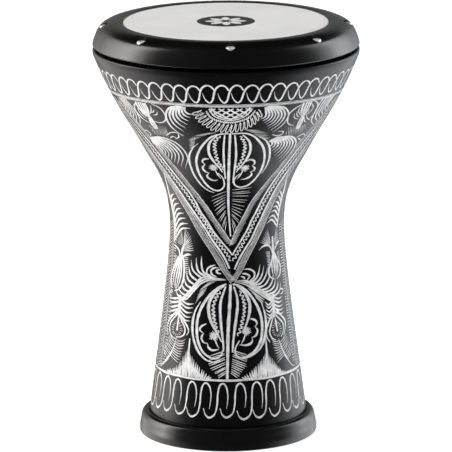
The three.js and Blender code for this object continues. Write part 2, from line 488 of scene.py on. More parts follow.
def cutAway(shape, cutter):
    # takes the cutter's volume out of the shape
    made = []
    for part, label in ((shape, "cutBase"), (cutter, "cutTool")):
        mesh = bpy.data.meshes.new(label)
        part.to_mesh(mesh)
        part.free()
        obj = bpy.data.objects.new(label, mesh)
        scene.collection.objects.link(obj)
        made.append(obj)
    hollow = made[0].modifiers.new("hollow", "BOOLEAN")
    hollow.object = made[1]
    hollow.operation = "DIFFERENCE"
    hollow.solver = "EXACT"
    bpy.context.view_layer.update()
    result = bmesh.new()
    result.from_object(made[0], bpy.context.evaluated_depsgraph_get())
    for obj in made:
        mesh = obj.data
        bpy.data.objects.remove(obj)
        bpy.data.meshes.remove(mesh)
    bmesh.ops.remove_doubles(result, verts=result.verts, dist=1e-6)
    return result


def lathe(points, steps):
    # a small turned shape from (radius, height) in mm, closed at the axis
    wire = bmesh.new()
    spots = [wire.verts.new((r * mm, 0, z * mm)) for r, z in points]
    for a, b in zip(spots, spots[1:]):
        wire.edges.new((a, b))
    return spun(wire, steps)


def aroundRing(shape, count, radius):
    # copies the shape to each screw place
    home = shape.verts[:] + shape.edges[:] + shape.faces[:]
    bmesh.ops.translate(shape, vec=(0, -radius * mm, 0), verts=shape.verts)
    for i in range(1, count):
        extra = bmesh.ops.duplicate(shape, geom=home)
        verts = [g for g in extra["geom"] if isinstance(g, bmesh.types.BMVert)]
        turn = Matrix.Rotation(math.tau * i / count, 3, "Z")
        bmesh.ops.rotate(shape, cent=(0, 0, 0), matrix=turn, verts=verts)
    return shape


screws = {"circle": 127.0, "count": 8}
shellSettings = {
    "corner": 26, "step": 3.0, "rounding": 0.6, "steps": 192,
    "seat": [(0, 396.5), (4.3, 396.5), (4.3, 414.5), (0, 414.5)],      # the hole for a thread insert
    "inward": -0.15,           # how far a face looks inwards before it counts as the inside
    "insideTop": 404.5,
    "ledge": 21.0,             # the foot ring covers the casting below this
}
ringSettings = {
    "corner": 30, "step": 1.6, "rounding": 0.35, "steps": 192,
    "pocket": [(0, 415), (3.4, 415), (3.4, 430.4), (5.8, 430.4), (5.8, 446), (0, 446)],
}
footSettings = {"corner": 40, "step": 1.2, "rounding": 0.5, "steps": 160}
hoopSettings = {"corner": 30, "step": 2.0, "rounding": 0.2, "steps": 128}
filmSettings = {"corner": 60, "step": 2.0, "rounding": 0.0, "steps": 128}

shellShape = turnedFrom("shell", shellSettings)
shellTree = BVHTree.FromBMesh(shellShape)      # the engraving is laid on this surface
seats = aroundRing(lathe(shellSettings["seat"], 32), screws["count"], screws["circle"])
shellShape = cutAway(shellShape, seats)
for face in shellShape.faces:
    centre = face.calc_center_median()
    outward = Vector((centre.x, centre.y, 0)).normalized()
    inside = face.normal.dot(outward) < shellSettings["inward"] and centre.z < shellSettings["insideTop"] * mm
    face.material_index = 1 if inside or centre.z < shellSettings["ledge"] * mm else 0
asPiece(shellShape, "castShell", "shell", ["lacquer", "inside"], ["shell"])

pockets = aroundRing(lathe(ringSettings["pocket"], 40), screws["count"], screws["circle"])
ringShape = cutAway(turnedFrom("clamp_ring", ringSettings), pockets)
asPiece(ringShape, "tensionRing", "clamp_ring", ["ringLacquer"], ["clamp_ring"])
footShape = turnedFrom("foot_ring", footSettings)
asPiece(footShape, "mouldedFoot", "shell", ["rubber"], ["foot_ring"])
hoopShape = turnedFrom("head_hoop", hoopSettings)
asPiece(hoopShape, "channelHoop", "clamp_ring", ["aluminium"], ["head_hoop"])
filmShape = turnedFrom("head_film", filmSettings)
film = asPiece(filmShape, "coatedHead", None, ["film"], ["head_film"])
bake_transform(film)
print("turned pieces done")

# screws, washers and inserts

screwSettings = {
    "top": 438.0,
    "head": [
        (0, 438), (3.9, 438), (4.55, 437.75), (4.95, 437.2), (5.0, 436.6), (5.0, 432.7),
        (4.8, 432.3), (4.4, 432.0), (3.2, 432.0), (3.0, 431.7),
    ],
    "knurl": 0.14,             # depth of the grip ridges
    "ridges": 36,
    "grip": (432.2, 437.3),    # the heights between which the head is ridged
    "gripRadius": 4.7,
    "key": 5.0,                # across the socket's flats
    "keyDepth": 3.2,
    "keyPoint": 0.7,
    "mouth": 0.18,             # the broken edge round the socket
    "shank": 3.0,
    "threadTop": 424.0,
    "threadTip": 404.5,
    "pitch": 1.0,
    "tooth": [(2.55, 0), (3.0, 0.4), (3.0, 0.55), (2.55, 0.95), (2.55, 1.0)],
    "grain": 20,               # steps to each turn of the thread
    "core": [(0, 403.5), (1.9, 403.5), (2.5, 404.1), (2.56, 404.6), (2.56, 424.5), (0, 424.5)],
    "oiled": 431.6,            # black below this
}
insertOutline = [
    (3.05, 402.5), (3.7, 402.5), (4.0, 402.9), (4.0, 406.4), (3.6, 406.8), (3.6, 408.2), (4.0, 408.6),
    (4.0, 412.9), (3.8, 413.2), (3.3, 413.2), (3.05, 412.9), (3.05, 402.5),
]
washerOutline = [
    (3.2, 430.7), (5.15, 430.7), (5.4, 430.95), (5.4, 431.45), (5.15, 431.7), (3.4, 431.7),
    (3.2, 431.5), (3.2, 430.7),
]


def ridgeHead(shape, settings):
    low, high = settings["grip"]
    for vert in shape.verts:
        reach = math.hypot(vert.co.x, vert.co.y) / mm
        if low < vert.co.z / mm < high and reach > settings["gripRadius"]:
            step = round(math.atan2(vert.co.y, vert.co.x) / math.tau * settings["ridges"] * 2)
            if step % 2:
                vert.co.xy = vert.co.xy * (1 - settings["knurl"] / reach)


def socketIn(shape, settings):
    point, floor = settings["key"] / math.sqrt(3), settings["top"] - settings["keyDepth"]
    above = settings["top"] + 2
    key = lathe([(0, floor - settings["keyPoint"]), (point, floor), (point, above), (0, above)], 6)
    shape = cutAway(shape, key)
    mouth = []
    for edge in shape.edges:
        level = all(abs(v.co.z - settings["top"] * mm) < 1e-5 for v in edge.verts)
        if level and len(edge.link_faces) == 2 and edge.calc_face_angle() > 1.2:
            mouth.append(edge)
    roundOver(shape, mouth, settings["mouth"] * mm, "EDGES", 2)
    return shape


def threadOn(shape, settings):
    low, grain = settings["threadTip"], settings["grain"]
    turns = round((settings["threadTop"] - low) / settings["pitch"]) - 1
    tooth = [shape.verts.new((r * mm, 0, (low + z) * mm)) for r, z in settings["tooth"]]
    flank = [shape.edges.new(pair) for pair in zip(tooth, tooth[1:])]
    bmesh.ops.spin(
        shape, geom=tooth + flank, cent=(0, 0, 0), axis=(0, 0, 1), dvec=(
            0, 0, settings["pitch"] * mm / grain,
        ),
        angle=math.tau * turns, steps=grain * turns, use_merge=False,
    )
    core = lathe(settings["core"], 32)
    scrap = bpy.data.meshes.new("scrap")
    core.to_mesh(scrap)
    core.free()
    shape.from_mesh(scrap)
    bpy.data.meshes.remove(scrap)


def socketScrew(settings, x, y, turn):
    shaft = [(settings["shank"], settings["threadTop"]), (0, settings["threadTop"])]
    shape = lathe(settings["head"] + shaft, settings["ridges"] * 2)
    ridgeHead(shape, settings)
    shape = socketIn(shape, settings)
    threadOn(shape, settings)
    bmesh.ops.remove_doubles(shape, verts=shape.verts, dist=1e-6)
    bmesh.ops.recalc_face_normals(shape, faces=shape.faces)
    for face in shape.faces:
        face.material_index = 1 if face.calc_center_median().z < settings["oiled"] * mm else 0
    bmesh.ops.rotate(shape, cent=(0, 0, 0), matrix=Matrix.Rotation(turn, 3, "Z"), verts=shape.verts)
    bmesh.ops.translate(shape, vec=(x, y, 0), verts=shape.verts)
    return shape


smallRounds = (
    (washerOutline, "flatWasher", "clamp_ring", "washer_steel", "steel", "washer_"),
    (insertOutline, "threadInsert", "shell", "insert_brass", "brass", "thread_insert_"),
)
for i in range(screws["count"]):
    angle = math.tau * i / screws["count"]
    x, y = screws["circle"] * mm * math.sin(angle), -screws["circle"] * mm * math.cos(angle)
    tag = str(i + 1)
    screwNode = "tuning_screw_" + tag
    shape = socketScrew(screwSettings, x, y, random.uniform(0, 1.0))
    asPiece(shape, "socketScrew" + tag, screwNode, ["chrome", "thread"], [screwNode], 40)
    for outline, label, body, slot, look, node in smallRounds:
        shape = lathe(outline, 48)
        bmesh.ops.translate(shape, vec=(x, y, 0), verts=shape.verts)
        asPiece(shape, label + tag, body, [look], [node + tag], 40)
print("screws, washers and inserts done")

# engraving: every cut is a tapered strip laid on the shell, placed by (degrees from the front, height in mm)

cutSettings = {
    "step": 1.8,               # mm between marks along a cut
    "lift": 0.06,              # stands just proud of the lacquer
    "stagger": (0.004, 17),    # crossing cuts lie at slightly different heights, in this many levels
    "valley": 0.02,            # the middle of the cut sits lower than its edges
    "wobble": 0.13,            # unevenness of the graver's width
    "runIn": 0.3,              # share of a cut over which it swells, and over which it fades
    "runOut": 0.4,
    "weight": 1.0,             # how hard the graver is pressed, set for each part of the pattern
    "group": "flowers",        # the piece that the cuts go into, set in the same way
}
gauge = {"lowest": 20, "rung": 0.5, "count": 788}
reaches = []                   # the shell's radius at each height of the gauge
for i in range(gauge["count"]):
    height = gauge["lowest"] + i * gauge["rung"]
    hit = shellTree.ray_cast(Vector((0.3, 0, height * mm)), Vector((-1, 0, 0)))
    reaches.append(hit[0].x / mm)
cuts = {"borders": [], "bands": [], "flowers": []}
facing = 0                     # which side of the drum is being cut


def reachAt(height):
    place = min(max((height - gauge["lowest"]) / gauge["rung"], 0), len(reaches) - 1.001)
    low = int(place)
    return reaches[low] + (reaches[low + 1] - reaches[low]) * (place - low)


def flatScale(height):
    # mm per degree round the shell, and mm of surface per mm of height
    slope = reachAt(height + 1) - reachAt(height - 1)
    return reachAt(height) * math.pi / 180, math.hypot(1, slope / 2)


def flatStep(a, b):
    wide, tall = flatScale((a[1] + b[1]) / 2)
    return Vector(((b[0] - a[0]) * wide, (b[1] - a[1]) * tall))


def throughPoints(points, step):
    spots = [Vector(p) for p in points]
    spots = [2 * spots[0] - spots[1]] + spots + [2 * spots[-1] - spots[-2]]
    line = []
    for a, b, c, d in zip(spots, spots[1:], spots[2:], spots[3:]):
        parts = max(2, round(flatStep(b, c).length / step))
        line += [between(a, b, c, d, i / parts) for i in range(parts)]
    line.append(spots[-2])
    return line


def cutLine(points, width, ends=(0.45, 0.35), step=cutSettings["step"]):
    line = throughPoints(points, step)
    wobble = cutSettings["wobble"]
    marks = []
    for i, spot in enumerate(line):
        t = i / (len(line) - 1)
        swell = ends[0] + (1 - ends[0]) * t / cutSettings["runIn"]
        fade = ends[1] + (1 - ends[1]) * (1 - t) / cutSettings["runOut"]
        press = cutSettings["weight"] * random.uniform(1 - wobble, 1 + wobble)
        marks.append((spot.x + facing, spot.y, width * min(1, swell, fade) * press))
    cuts[cutSettings["group"]].append(marks)


def along(curve, t):
    spans = [flatStep(a, b).length for a, b in zip(curve, curve[1:])]
    left = min(max(t, 0), 1) * sum(spans)
    for span, a, b in zip(spans, curve, curve[1:]):
        if left <= span or (a, b) == (curve[-2], curve[-1]):
            return Vector(a).lerp(Vector(b), min(left / span, 1) if span else 0)
        left -= span


def aside(a, b, share, offset):
    # a point share of the way from a to b, offset mm to its left
    flat = flatStep(a, b)
    spot = Vector(a).lerp(Vector(b), share)
    if flat.length < 1e-6:
        return spot
    wide, tall = flatScale(spot.y)
    flat.normalize()
    return Vector((spot.x - flat.y * offset / wide, spot.y + flat.x * offset / tall))


def lines(width, *routes, ends=(0.45, 0.35)):
    for route in routes:
        cutLine(route, width, ends)


def comb(roots, tips, count, width, bulge=0.0, ends=(0.85, 0.12), stray=0.12):
    # a row of cuts from one curve to another: feathers, leaves, fringes and rays
    for i in range(count):
        t = (i + random.uniform(-stray, stray)) / (count - 1)
        a, b = along(roots, t), along(tips, t)
        b = a.lerp(b, random.uniform(0.94, 1.05))
        middle = aside(a, b, 0.5, flatStep(a, b).length * bulge)
        cutLine([a, middle, b] if bulge else [a, b], width * random.uniform(0.85, 1.15), ends)


def fan(curves, count, width, ends=(0.9, 0.12)):
    # cuts that each pass through the same share of every curve
    for i in range(count):
        t = min(max((i + random.uniform(-0.08, 0.08)) / (count - 1), 0), 1)
        cutLine([along(curve, t) for curve in curves], width * random.uniform(0.9, 1.12), ends)


def leaf(outer, inner, count, width):
    # hooked cuts nested from the leaf's edge towards its root
    for i in range(count):
        t = (i / (count - 1)) ** 0.9
        route = [Vector(a).lerp(Vector(b), t) for a, b in zip(outer, inner)]
        cutLine(route, width * random.uniform(0.92, 1.1), (1, 0.12))


def fingers(roots, tips, count, width):
    # a fringe of narrow closed petals
    half, shoulder = 0.3 / count, 0.72
    for i in range(count):
        t = (i + 0.5) / count
        start, end = along(roots, t - half), along(roots, t + half)
        left = start.lerp(along(tips, t - half), shoulder)
        right = end.lerp(along(tips, t + half), shoulder)
        cutLine([start, left, along(tips, t), right, end], width, (0.7, 0.5), 1.2)


def wave(points, pitch, reach, width):
    line = throughPoints(points, pitch / 2)
    turns = [line[0]]
    for i in range(1, len(line) - 1):
        way = 1 if i % 2 else -1
        turns.append(aside(line[i], line[i + 1], 0, reach * way * random.uniform(0.8, 1.15)))
    cutLine(turns + [line[-1]], width, (0.8, 0.8), 1.0)


def hatchedBand(points, breadth, pitch, lean, width):
    line = throughPoints(points, pitch)
    for i in range(len(line) - 1):
        half = breadth / 2 * random.uniform(0.82, 1.12)
        back = along(points, (i - lean / pitch) / len(line))
        on = along(points, (i + lean / pitch) / len(line))
        left = aside(line[i], line[i + 1], 0, half) + (back - line[i]) * 0.5
        right = aside(line[i], line[i + 1], 0, -half) + (on - line[i]) * 0.5
        cutLine([left, right], width, (0.5, 0.5), 3.0)


def burst(centre, inner, outer, count, width):
    wide, tall = flatScale(centre[1])
    for i in range(count):
        turn = math.tau * (i + random.uniform(-0.2, 0.2)) / count
        far = outer * random.uniform(0.85, 1.15)
        ray = Vector((math.cos(turn) / wide, math.sin(turn) / tall))
        cutLine([Vector(centre) + ray * inner, Vector(centre) + ray * far], width, (0.9, 0.4), 1.5)


def cutBorders():
    # looped borders at the rim and the foot, each closed by a heavy line
    tilt = [(-90, 372.5), (-60, 374.5), (-30, 376), (0, 376), (30, 375.5), (60, 373.5), (90, 372.5)]
    for height, width in ((0, 1.9), (1.5, 0.8), (-1.3, 0.8)):
        cutLine([(a, z + height) for a, z in tilt], width, (1, 1))
    loops = 28
    rimLoop = [
        (0.6, 390), (1.3, 384.5), (2.4, 380.6), (3.6, 379), (4.8, 381.4), (5.4, 386), (6.0, 391),
        (7.0, 395.6), (8.8, 398.2), (10.8, 397), (12.3, 392.4),
    ]
    for i in range(loops):
        start = -90 + 180 * i / loops + random.uniform(-0.5, 0.5)
        base = 1.0 - abs(start) / 45
        stretch = random.uniform(0.94, 1.06)
        tall = random.uniform(-0.6, 0.9)
        route = [(start + a * stretch, z + base + (tall if z > 390 else 0)) for a, z in rimLoop]
        cutLine(route, 2.8, (0.2, 0.75))
    for height, width in ((0, 2.2), (1.1, 1.2)):
        route = [(a, 72.3 + height + random.uniform(-0.3, 0.3)) for a in range(-90, 91, 15)]
        cutLine(route, width, (1, 1))
    loops = 14
    footLoop = [
        (10.3, 42), (11.1, 49), (11.4, 58), (10.1, 66), (7.3, 69.4), (4.5, 66.5), (3.2, 58), (2.8, 47),
        (1.5, 38), (-1.1, 33.4), (-4.0, 32), (-6.6, 35), (-8.4, 42),
    ]
    turnBack = [(1.0, 37), (-1.3, 34.2), (-4.0, 33), (-6.2, 35.6)]
    for i in range(loops):
        start = -90 + 180 * i / loops + random.uniform(-0.7, 0.7)
        stretch = random.uniform(0.93, 1.06)
        drop = random.uniform(-1.5, 1.5)
        route = [(start + a * stretch, z + (drop if z < 50 else 0)) for a, z in footLoop]
        cutLine(route, 2.4, (0.22, 0.45))
        cutLine([(start + a * stretch, z + drop) for a, z in turnBack], 1.6, (0.3, 0.3))


def cutBands():
    # the great V on each face: hatched bands, plain lines and a wavy line between them
    inner = {
        1: [
            (2.4, 213), (5.5, 221.5), (9, 230), (14, 240), (18.5, 250), (23, 260), (28.5, 270), (34, 280),
            (39, 290), (43, 300), (52, 325), (62, 350), (71, 371),
        ],
        -1: [
            (2.2, 213.5), (-3, 221.5), (-8, 230), (-14.5, 240), (-20, 250), (-26, 260), (-31.5, 270),
            (-37, 280), (-41, 290), (-45, 300), (-54, 325), (-63, 350), (-71, 369),
        ],
    }
    plain = {
        1: [
            (3, 204), (6.5, 210), (12.5, 220), (18.5, 230), (23, 240), (28, 250), (32, 260), (36, 270),
            (40, 280), (43.5, 290), (47, 300), (56, 325), (66, 350), (75, 370),
        ],
        -1: [
            (3, 204), (-1, 210), (-9, 220), (-16.5, 230), (-22, 240), (-28.5, 250), (-32.5, 260),
            (-37, 270), (-42.5, 280), (-47, 290), (-50.5, 300), (-59, 325), (-68, 350), (-76, 368),
        ],
    }
    outer = {
        1: [
            (5, 189), (10, 200), (16, 210), (23, 220), (28, 230), (33.5, 240), (38, 250), (42.5, 260),
            (46, 270), (50, 280), (53.5, 290), (57, 300), (66, 325), (75, 348), (83, 366),
        ],
        -1: [
            (0, 190), (-4, 200), (-10, 210), (-17, 220), (-23, 230), (-30, 240), (-37, 250), (-43.5, 260),
            (-49, 270), (-54, 280), (-57.5, 290), (-61, 300), (-69, 325), (-77, 348), (-84, 366),
        ],
    }
    edge = {
        1: [
            (2, 174), (6, 182), (11, 190), (16, 200), (22, 210), (28, 220), (34, 230), (39, 240), (44, 250),
            (48, 260), (52, 270), (56.5, 280), (61, 295), (72, 325), (81, 348), (88, 364),
        ],
        -1: [
            (3.5, 176), (-1, 183), (-5.5, 190), (-11, 200), (-17, 210), (-24, 220), (-31, 230), (-37, 240),
            (-43.5, 250), (-50, 260), (-55, 270), (-59, 280), (-64, 295), (-74, 325), (-82, 348),
            (-89, 363),
        ],
    }
    for side in (1, -1):
        hatchedBand(inner[side], 6.6, 2.4, 12 * side, 0.52)
        hatchedBand(edge[side], 6.0, 2.4, 12 * side, 0.52)
        lines(0.9, [(a - side * 1.6, z + 1.5) for a, z in inner[side]], ends=(0.9, 0.9))
        lines(2.3, plain[side], ends=(0.7, 0.9))
        middle = [along(plain[side], t / 24).lerp(along(outer[side], t / 24), 0.42) for t in range(25)]
        wave(middle, 4.6, 1.5, 1.3)
        lines(2.4, outer[side], ends=(0.8, 0.9))
        lines(1.0, [(a + side * 2.0, z - 1.5) for a, z in outer[side]], ends=(0.6, 0.9))
        lines(0.9, [(a + side * 1.8, z - 2) for a, z in edge[side]], ends=(0.5, 0.9))


def cutCrown():
    # half flower, leaves and winged buds hanging from the rim border
    disc = [(-10.3, 372.5), (-8, 364.5), (-4, 360.6), (0, 359.5), (4, 360.8), (8, 365), (10.5, 372.5)]
    lines(1.8, disc, [(a * 0.88, z + 1.8) for a, z in disc], ends=(0.9, 0.9))
    wave([(a * 1.16, z - 2.6) for a, z in disc], 2.3, 1.1, 1.5)
    # the disc's net: crossing cuts, each stopped at the disc's edge
    for side in (1, -1):
        for k in range(6):
            route = [(side * (-10 + 4.3 * k), 373)]
            while route[-1][1] > 361 + 11.5 * (abs(route[-1][0]) / 10) ** 2 and len(route) < 12:
                route.append((route[-1][0] + side * 1.5, route[-1][1] - 1.9))
            if len(route) > 2:
                lines(2.1, route, ends=(0.8, 0.8))
    petalRoots = [(-14.5, 371), (-11, 361.5), (-6, 355.5), (0, 353.6), (6, 355.8), (11, 362), (14, 371)]
    petalTips = [
        (-19.5, 367.5), (-15.8, 355.5), (-9.5, 346.6), (-1, 344), (7.5, 347), (12.8, 353), (16.5, 364),
    ]
    fingers(petalRoots, petalTips, 17, 1.25)
    comb(
        [(-14, 371), (-10.6, 362), (-5.6, 356.6), (0, 354.8), (5.6, 356.8), (10.6, 362.5), (13.5, 371)],
        [(-16.4, 368), (-12.4, 358), (-6.6, 351.6), (0, 349.6), (6.4, 352), (12, 359), (15, 368)], 18, 1.3,
        0.0, (0.9, 0.3),
    )
    # first leaves
    leaf(
        [(-25.5, 374), (-30.8, 370.5), (-34, 360), (-32.8, 348.5), (-27.3, 338.3)],
        [(-22, 373.5), (-22.6, 370.5), (-22.2, 368), (-21, 366), (-18.8, 365.5)], 7, 2.9,
    )
    leaf(
        [(19, 374), (27, 370.8), (31, 360.5), (28.8, 349.5), (23.8, 342)],
        [(16.8, 373), (17.4, 369), (18, 365), (17.6, 361.5), (15.6, 359.5)], 8, 2.4,
    )
    # winged buds
    leaf([(-51.4, 372.6), (-51, 366), (-47.6, 356)], [(-45, 372.6), (-44.4, 366), (-45.6, 356)], 5, 3.4)
    leaf([(-45.2, 342.6), (-46.4, 349), (-46.2, 362)], [(-43.2, 343.6), (-43.6, 350), (-45.6, 362)], 3, 2.6)
    leaf([(38.4, 373), (38.4, 365), (40.2, 356)], [(43.4, 373), (43, 365), (41.6, 356)], 4, 3.2)
    leaf([(40.2, 342), (39.9, 349), (40.4, 361)], [(41.8, 342), (42.4, 349), (41.4, 361)], 3, 2.5)
    lines(
        2.2, [(-40.5, 373.5), (-36, 369.5), (-34.2, 362), (-35.5, 355), (-39.5, 351.7), (-43, 352.5)],
        [(-50.5, 372.5), (-54, 366.5), (-54.6, 360), (-52, 353), (-48, 349.8), (-46, 350.8)],
    )
    lines(
        2.2, [(38, 372), (33.5, 367.5), (31.2, 362), (31.5, 354), (33.5, 349.5), (36.8, 347.5)],
        [(44, 374), (48, 370), (50.2, 364), (49.8, 356), (46.5, 351.5)],
    )
    lines(
        1.5, [(-41.4, 371), (-42, 366), (-43.6, 361.5), (-45.4, 359)],
        [(-38.6, 365), (-39.4, 361.2), (-42, 360)], [(-40, 367), (-41.2, 363.6), (-43, 362.6)],
        [(-50.2, 369), (-52, 363), (-51, 357), (-48, 353.6)], [(-49.4, 365), (-50, 359.5), (-48, 356.5)],
    )
    lines(
        1.5, [(37.6, 370.5), (36.4, 365.5), (37.6, 361), (39.6, 358)],
        [(34.4, 361.5), (35.4, 356.6), (38.6, 354)], [(35.6, 364), (36.6, 359), (38.8, 356.4)],
        [(43.4, 371), (46.2, 366), (45.6, 360), (42.6, 356.4)], [(44.4, 363), (44, 359.4), (42.4, 357.6)],
        [(42, 357), (44, 350.4), (46.6, 347.6)], [(43.4, 357.4), (46, 352), (48.6, 350.4)],
    )
    comb([(-50, 347), (-37, 347)], [(-47, 334.5), (-38, 333.5)], 12, 0.55, 0.05)
    comb([(-49, 341), (-38, 344)], [(-48, 335), (-36.5, 338)], 9, 0.55)
    comb([(33.5, 346.5), (48, 346)], [(36, 335.5), (45.5, 334)], 13, 0.55, 0.05)
    comb([(33.5, 341), (46, 346)], [(34.5, 336), (48.5, 339)], 9, 0.55)
    # outer fans under the border
    leaf(
        [(-60, 373), (-56, 363), (-54.8, 352), (-59.5, 340.5)],
        [(-67, 371.5), (-65, 366), (-64.4, 361), (-67.5, 357)], 6, 2.2,
    )
    leaf(
        [(52, 374), (50, 362), (50.4, 349), (56.2, 341.5)],
        [(64, 373), (61.5, 367), (61, 361.5), (63.6, 358)], 6, 2.8,
    )
    # second leaves, both leaning the same way
    leaf(
        [(-53, 330.8), (-43, 333.4), (-33.4, 328.8), (-28.6, 314), (-33.6, 298.5)],
        [(-55, 324), (-52, 322.6), (-49.4, 319.6), (-48.4, 316), (-50, 312)], 8, 2.5,
    )
    lines(
        3.4, [(-54.6, 329.5), (-49, 328), (-44, 329.5), (-38, 330)],
        [(-54.8, 326), (-51, 325.4), (-47, 326)], ends=(0.9, 0.1),
    )
    leaf(
        [(28, 335.6), (39, 333.8), (46.4, 324), (45.4, 312), (39.4, 300)],
        [(24, 332.5), (25.4, 330.8), (26.6, 328.6), (26.2, 326.4), (24.4, 325)], 9, 2.4,
    )
    # small scrolls and shading
    lines(
        1.8, [(-38.6, 337), (-34.5, 341.4), (-30.5, 342), (-26.5, 339.2)],
        [(-30, 341), (-30.2, 337), (-33, 333.8)], [(-36.6, 334.4), (-34, 337), (-32, 335)],
        [(-57.5, 336.5), (-54.5, 338.4), (-51.8, 335.4), (-53.4, 332)],
        [(24.6, 339.5), (28.4, 337.4), (31.2, 339), (31, 342), (27.6, 342.6)],
        [(44, 331), (49, 333.8), (52, 331)], [(46.4, 329.4), (49.4, 327)],
    )
    comb([(7.5, 348), (11, 345), (17, 337.5)], [(17, 346), (22.5, 341), (24.5, 334)], 8, 0.8)
    comb([(-8, 344.6), (-13, 342), (-19.5, 336.5)], [(-13.5, 344), (-20.5, 340.5), (-25, 334.5)], 8, 0.7)
    comb([(-20, 337), (-22, 327)], [(-24.6, 333), (-25.6, 323)], 7, 0.8)


def cutPod(side, outer, second, petal, teeth, cloud, heart, width=2.6):
    # one half of a seed pod: double outline, toothed inner petal, scalloped cloud and a small flower
    lines(width, outer, ends=(0.6, 0.4))
    lines(width * 0.9, second, ends=(0.25, 0.3))
    lines(width * 1.08, petal, ends=(0.5, 0.4))
    wave(teeth, 4.4, 1.5, 1.5)
    for lobe in cloud:
        lines(2.3, lobe, ends=(0.2, 0.2))
    burst(heart, 0.3, 5.0, 15, 1.15)
    lines(1.4, [(heart[0] - side * a, heart[1] - z) for a, z in ((1.0, 2), (2.6, 8), (5.0, 13))])


def cutUpperPod():
    lines(2.8, [(0, 344), (-0.5, 300), (-0.7, 265), (0, 245), (1.5, 224)], ends=(0.9, 0.5))
    lines(
        2.3, [(2.6, 342), (3.6, 328), (4.1, 315), (3.6, 300), (3.0, 284)],
        [(-3, 342), (-3.9, 322), (-3.6, 300), (-3, 289)], ends=(0.6, 0.6),
    )
    cutPod(
        1,
        [
            (1, 343.5), (8, 343.6), (13, 340), (17.3, 333), (21, 325), (23.6, 315), (24.4, 305),
            (23.8, 296), (21, 287.5), (16.5, 281.3), (12, 279), (8, 279), (5, 281), (3.6, 285), (5, 291),
            (8, 295),
        ],
        [(17, 339), (22.5, 331.5), (26, 322), (27.8, 311), (27.4, 301), (25.4, 293)],
        [(7, 342), (11.5, 333), (12.9, 322), (11.2, 312), (8, 304), (5, 297)],
        [(5.4, 340), (8.2, 334), (9.2, 325), (8.7, 315), (6.8, 307), (4.4, 300)],
        [
            [(10.5, 309), (14, 311.4), (17, 309.4), (17.6, 306), (16, 303.6)],
            [(16, 303.6), (18.2, 301.4), (18.4, 298), (15.6, 296.4)],
            [(15.6, 296.4), (17.2, 293.8), (15.6, 290.2), (12, 288.2), (9, 288.2)],
        ],
        (11, 301.5),
    )
    cutPod(
        -1,
        [
            (-1, 343.5), (-5.5, 343), (-10.5, 339.5), (-15, 332), (-19.4, 322), (-22.4, 312), (-23.4, 303),
            (-22.8, 293), (-19.6, 283), (-15, 277), (-10, 274.8), (-6, 277), (-4, 282), (-5, 290),
            (-8.5, 296),
        ],
        [
            (-19, 331), (-23.6, 324), (-27.4, 314), (-28.4, 303), (-27.4, 291), (-23.6, 281), (-18.4, 275),
            (-13, 272.4),
        ],
        [(-7, 342), (-12, 332), (-13.2, 320), (-11, 311), (-7.4, 303), (-5, 297)],
        [(-5.6, 341), (-8.8, 333), (-9.2, 322), (-8.2, 312), (-6.6, 306), (-4, 300)],
        [
            [(-13.6, 313), (-17, 312.4), (-18.7, 309), (-17, 306)],
            [(-17, 306), (-19.4, 301.6), (-17.6, 297), (-15, 296)],
            [(-15, 296), (-17.2, 292), (-15, 288.2), (-11.5, 286.8), (-9, 288)],
        ],
        (-11.5, 302.5),
    )
    comb(
        [(2.6, 276), (2.6, 262), (2.6, 250), (3, 238)], [(20, 278), (17, 265), (12.5, 247), (5.5, 226)], 15,
        0.68, 0.0, (0.5, 0.4), 0.25,
    )
    comb(
        [(-2.6, 274), (-3.4, 262), (-3.4, 250), (-2.6, 240)],
        [(-16, 267), (-15, 258), (-11, 244), (-4, 229)], 12, 0.68, 0.0, (0.5, 0.4), 0.25,
    )


def cutEye(outer, inner, vane, rim, pupil):
    # an eye feather: double outline, middle vane and a ring of short rays
    lines(2.4, *outer, ends=(0.8, 0.4))
    lines(2.1, *inner, ends=(0.8, 0.5))
    lines(2.6, vane, ends=(0.4, 1))
    comb(rim, pupil, 17, 0.85, 0.0, (0.9, 0.4))


